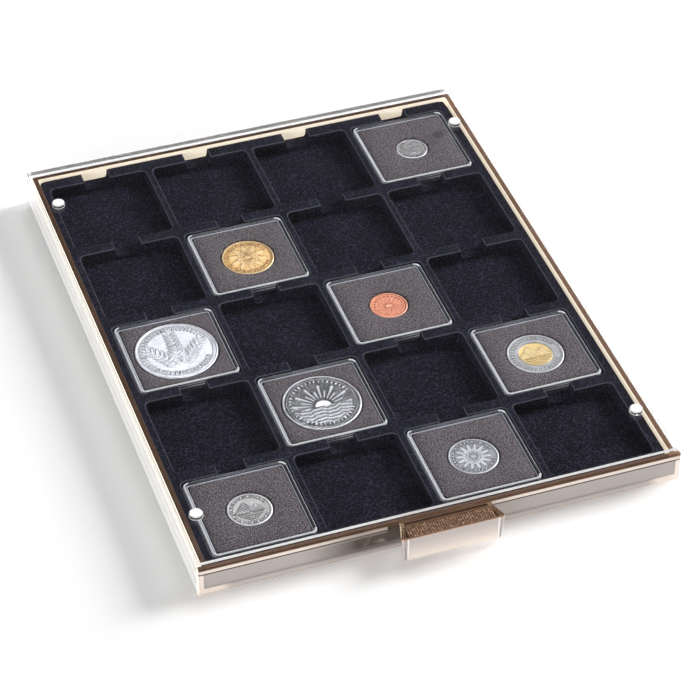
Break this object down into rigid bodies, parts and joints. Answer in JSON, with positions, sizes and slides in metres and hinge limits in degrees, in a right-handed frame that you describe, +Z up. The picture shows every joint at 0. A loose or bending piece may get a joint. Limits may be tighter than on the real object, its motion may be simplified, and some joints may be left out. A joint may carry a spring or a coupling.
{
  "type": "coin display case",
  "caption": "Flat stacking coin case: clear housing with a smoke-tinted pull-out drawer, a flocked insert of square compartments, and square coin capsules.",
  "frame": {"origin": "middle of the footprint, pull included, on the surface that the case stands on", "axes": "+Z up, +Y towards the closed back, +X to the right seen from the pull"},
  "size_m": [0.236, 0.3154, 0.0202],
  "materials": {
    "clear_housing": "clear moulded polystyrene, glossy",
    "smoke_drawer": "smoke-tinted moulded polystyrene, glossy",
    "navy_velvet": "flocked formed sheet, matt",
    "capsule_clear": "clear moulded polystyrene, glossy",
    "grey_foam": "fine-celled foam, matt",
    "coin_silver": "struck metal, satin",
    "coin_nickel": "struck metal, worn satin",
    "coin_steel": "struck metal, satin",
    "coin_gold": "struck metal, satin",
    "coin_copper": "struck metal, satin"
  },
  "bodies": {
    "housing": {"housing": "clear_housing"},
    "drawer": {"drawer": "smoke_drawer", "velvet_insert": "navy_velvet"},
    "capsule_1_4": {"capsule_1_4_base": "capsule_clear", "capsule_1_4_lid": "capsule_clear", "capsule_1_4_foam": "grey_foam", "coin_1_4": "coin_silver"},
    "capsule_2_2": {"capsule_2_2_base": "capsule_clear", "capsule_2_2_lid": "capsule_clear", "capsule_2_2_foam": "grey_foam", "coin_2_2": "coin_gold"},
    "capsule_3_1": {"capsule_3_1_base": "capsule_clear", "capsule_3_1_lid": "capsule_clear", "capsule_3_1_foam": "grey_foam", "coin_3_1": "coin_silver"},
    "capsule_3_3": {"capsule_3_3_base": "capsule_clear", "capsule_3_3_lid": "capsule_clear", "capsule_3_3_foam": "grey_foam", "coin_3_3": "coin_copper"},
    "capsule_4_2": {"capsule_4_2_base": "capsule_clear", "capsule_4_2_lid": "capsule_clear", "capsule_4_2_foam": "grey_foam", "coin_4_2": "coin_silver"},
    "capsule_4_4": {"capsule_4_4_base": "capsule_clear", "capsule_4_4_lid": "capsule_clear", "capsule_4_4_foam": "grey_foam", "coin_4_4": "coin_steel", "coin_4_4_core": "coin_gold"},
    "capsule_5_1": {"capsule_5_1_base": "capsule_clear", "capsule_5_1_lid": "capsule_clear", "capsule_5_1_foam": "grey_foam", "coin_5_1": "coin_nickel"},
    "capsule_5_3": {"capsule_5_3_base": "capsule_clear", "capsule_5_3_lid": "capsule_clear", "capsule_5_3_foam": "grey_foam", "coin_5_3": "coin_silver"}
  },
  "joints": [
    {"name": "drawer_slide", "type": "slide", "parent": "housing", "child": "drawer", "axis": [0, -1, 0], "range_m": [0, 0.27]},
    {"name": "capsule_1_4_lift", "type": "slide", "parent": "drawer", "child": "capsule_1_4", "axis": [0, 0, 1], "range_m": [0, 0.0022]},
    {"name": "capsule_2_2_lift", "type": "slide", "parent": "drawer", "child": "capsule_2_2", "axis": [0, 0, 1], "range_m": [0, 0.0022]},
    {"name": "capsule_3_1_lift", "type": "slide", "parent": "drawer", "child": "capsule_3_1", "axis": [0, 0, 1], "range_m": [0, 0.0022]},
    {"name": "capsule_3_3_lift", "type": "slide", "parent": "drawer", "child": "capsule_3_3", "axis": [0, 0, 1], "range_m": [0, 0.0022]},
    {"name": "capsule_4_2_lift", "type": "slide", "parent": "drawer", "child": "capsule_4_2", "axis": [0, 0, 1], "range_m": [0, 0.0022]},
    {"name": "capsule_4_4_lift", "type": "slide", "parent": "drawer", "child": "capsule_4_4", "axis": [0, 0, 1], "range_m": [0, 0.0022]},
    {"name": "capsule_5_1_lift", "type": "slide", "parent": "drawer", "child": "capsule_5_1", "axis": [0, 0, 1], "range_m": [0, 0.0022]},
    {"name": "capsule_5_3_lift", "type": "slide", "parent": "drawer", "child": "capsule_5_3", "axis": [0, 0, 1], "range_m": [0, 0.0022]}
  ]
}
